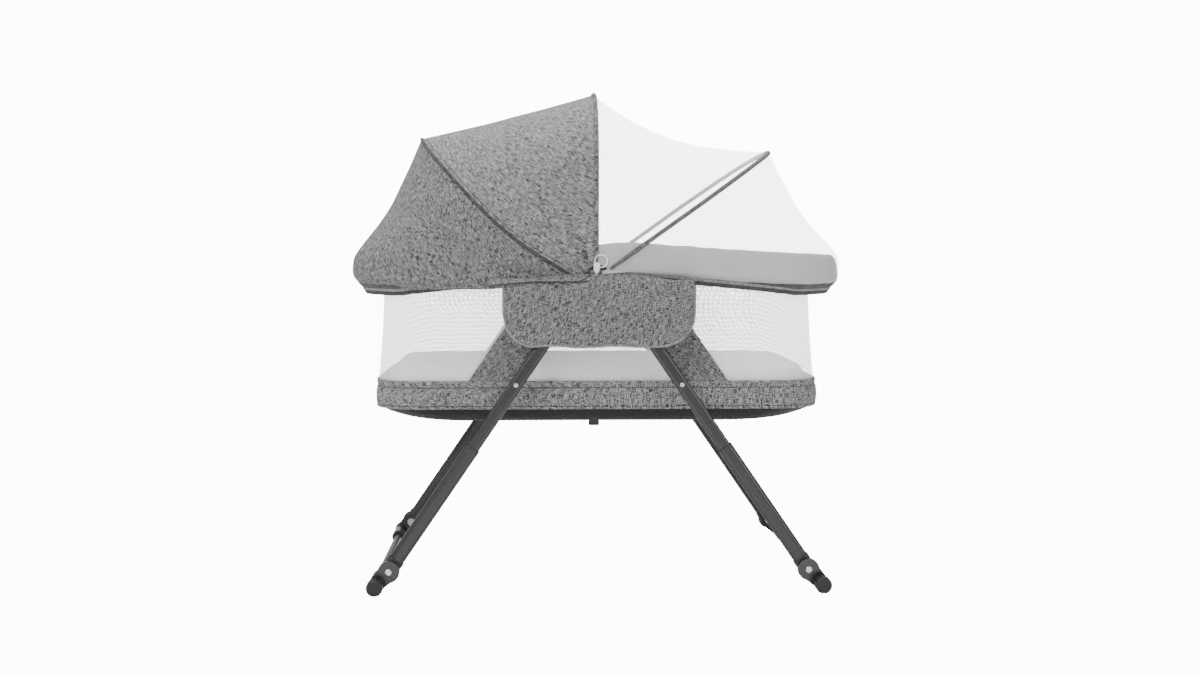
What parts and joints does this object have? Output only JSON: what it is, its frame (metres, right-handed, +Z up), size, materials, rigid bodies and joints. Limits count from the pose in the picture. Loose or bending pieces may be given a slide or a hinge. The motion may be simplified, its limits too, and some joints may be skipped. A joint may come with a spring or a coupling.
{
  "type": "bassinet on stand",
  "caption": "Portable bassinet: net-walled basket with padded rail and hooped canopy, half cloth and half net, on a folding A-frame stand with telescoping legs.",
  "frame": {"origin": "on the floor under the centre of the stand, at the middle of the overall length and depth", "axes": "+Z up, +X along the basket towards the net end of the canopy, -Y the front"},
  "size_m": [0.889, 0.626, 0.899],
  "materials": {
    "bedding": "light grey knitted cover",
    "board": "pressed fibreboard",
    "bright_metal": "nickel plated",
    "dark_cloth": "dark grey nylon",
    "disc": "dark grey moulded plastic, polished",
    "moulding": "dark grey moulded plastic",
    "net": "white mosquito net",
    "rubber": "black soft plastic",
    "tube": "dark grey powder coat, satin",
    "tweed": "grey heather weave",
    "wire": "spring steel",
    "zip_metal": "white enamelled zip slider"
  },
  "bodies": {
    "basket": {"bottom_tray": "dark_cloth", "drawcord_end": "dark_cloth", "flap_front": "tweed", "flap_rear": "tweed", "floor_board_left": "board", "floor_board_right": "board", "floor_frame": "wire", "gussets_front": "tweed", "gussets_rear": "tweed", "hoop_pivot_pins": "bright_metal", "hub_caps": "disc", "hub_front": "moulding", "hub_rear": "moulding", "leg_pivot_pins": "bright_metal", "lower_band": "tweed", "mattress": "bedding", "net_wall": "net", "pull_strap": "dark_cloth", "rail_cover_left": "tweed", "rail_cover_right": "tweed", "rail_left": "tube", "rail_right": "tube"},
    "upper_legs_left": {"upper_leg_left_front": "tube", "upper_leg_left_rear": "tube"},
    "lower_legs_left": {"lower_leg_left_front": "tube", "lower_leg_left_rear": "tube", "leg_foot_left_front": "moulding", "leg_foot_left_rear": "moulding", "slide_bushes_left": "moulding"},
    "foot_left": {"foot_casting_left_front": "disc", "foot_casting_left_rear": "disc", "foot_bar_left": "tube", "sleeve_rings_left": "rubber", "end_caps_left": "rubber", "foot_bolts_left": "bright_metal"},
    "snap_left_front": {"snap_button_left_front": "bright_metal"},
    "snap_left_rear": {"snap_button_left_rear": "bright_metal"},
    "upper_legs_right": {"upper_leg_right_front": "tube", "upper_leg_right_rear": "tube"},
    "lower_legs_right": {"lower_leg_right_front": "tube", "lower_leg_right_rear": "tube", "leg_foot_right_front": "moulding", "leg_foot_right_rear": "moulding", "slide_bushes_right": "moulding"},
    "foot_right": {"foot_casting_right_front": "disc", "foot_casting_right_rear": "disc", "foot_bar_right": "tube", "sleeve_rings_right": "rubber", "end_caps_right": "rubber", "foot_bolts_right": "bright_metal"},
    "snap_right_front": {"snap_button_right_front": "bright_metal"},
    "snap_right_rear": {"snap_button_right_rear": "bright_metal"},
    "left_hoop": {"hoop_left": "wire", "canopy_end": "tweed"},
    "centre_hoop": {"hoop_centre": "wire", "canopy_top": "tweed"},
    "right_hoop": {"hoop_right": "wire", "canopy_net_top": "net", "canopy_net_end": "net"},
    "zip": {"zip_slider": "zip_metal"}
  },
  "joints": [
    {"name": "leg_fold_left", "type": "hinge", "parent": "basket", "child": "upper_legs_left", "pos_m": [-0.04521, 0, 0.519], "axis": [0, -1, 0], "range_deg": [0, 32]},
    {"name": "leg_slide_left", "type": "slide", "parent": "upper_legs_left", "child": "lower_legs_left", "axis": [-0.5651, 0, -0.825], "range_m": [0, 0.06]},
    {"name": "foot_turn_left", "type": "hinge", "parent": "lower_legs_left", "child": "foot_left", "pos_m": [-0.37538, 0, 0.037], "axis": [0, -1, 0], "range_deg": [0, 60]},
    {"name": "snap_press_left_front", "type": "slide", "parent": "upper_legs_left", "child": "snap_left_front", "axis": [0, 1, 0], "range_m": [0, 0.002], "stiffness_N_per_m": 400},
    {"name": "snap_press_left_rear", "type": "slide", "parent": "upper_legs_left", "child": "snap_left_rear", "axis": [0, -1, 0], "range_m": [0, 0.002], "stiffness_N_per_m": 400},
    {"name": "leg_fold_right", "type": "hinge", "parent": "basket", "child": "upper_legs_right", "pos_m": [0.04521, 0, 0.519], "axis": [0, 1, 0], "range_deg": [0, 32]},
    {"name": "leg_slide_right", "type": "slide", "parent": "upper_legs_right", "child": "lower_legs_right", "axis": [0.5651, 0, -0.825], "range_m": [0, 0.06]},
    {"name": "foot_turn_right", "type": "hinge", "parent": "lower_legs_right", "child": "foot_right", "pos_m": [0.37538, 0, 0.037], "axis": [0, 1, 0], "range_deg": [0, 60]},
    {"name": "snap_press_right_front", "type": "slide", "parent": "upper_legs_right", "child": "snap_right_front", "axis": [0, 1, 0], "range_m": [0, 0.002], "stiffness_N_per_m": 400},
    {"name": "snap_press_right_rear", "type": "slide", "parent": "upper_legs_right", "child": "snap_right_rear", "axis": [0, -1, 0], "range_m": [0, 0.002], "stiffness_N_per_m": 400},
    {"name": "canopy_fold", "type": "hinge", "parent": "basket", "child": "left_hoop", "pos_m": [-0.004, 0, 0.56], "axis": [0, -1, 0], "range_deg": [0, 15], "deforming": ["canopy_end"]},
    {"name": "centre_fold", "type": "hinge", "parent": "left_hoop", "child": "centre_hoop", "pos_m": [-0.004, 0, 0.56], "axis": [0, -1, 0], "range_deg": [0, 31.5], "deforming": ["canopy_top"]},
    {"name": "right_fold", "type": "hinge", "parent": "centre_hoop", "child": "right_hoop", "pos_m": [-0.004, 0, 0.56], "axis": [0, -1, 0], "range_deg": [0, 36], "deforming": ["canopy_net_top", "canopy_net_end"]},
    {"name": "zip_slide", "type": "slide", "parent": "centre_hoop", "child": "zip", "axis": [0, 0, 1], "range_m": [0, 0.12]}
  ],
  "couplings": [
    {"joint": "centre_fold", "follows": "canopy_fold", "ratio": 2.1},
    {"joint": "right_fold", "follows": "canopy_fold", "ratio": 2.4}
  ]
}
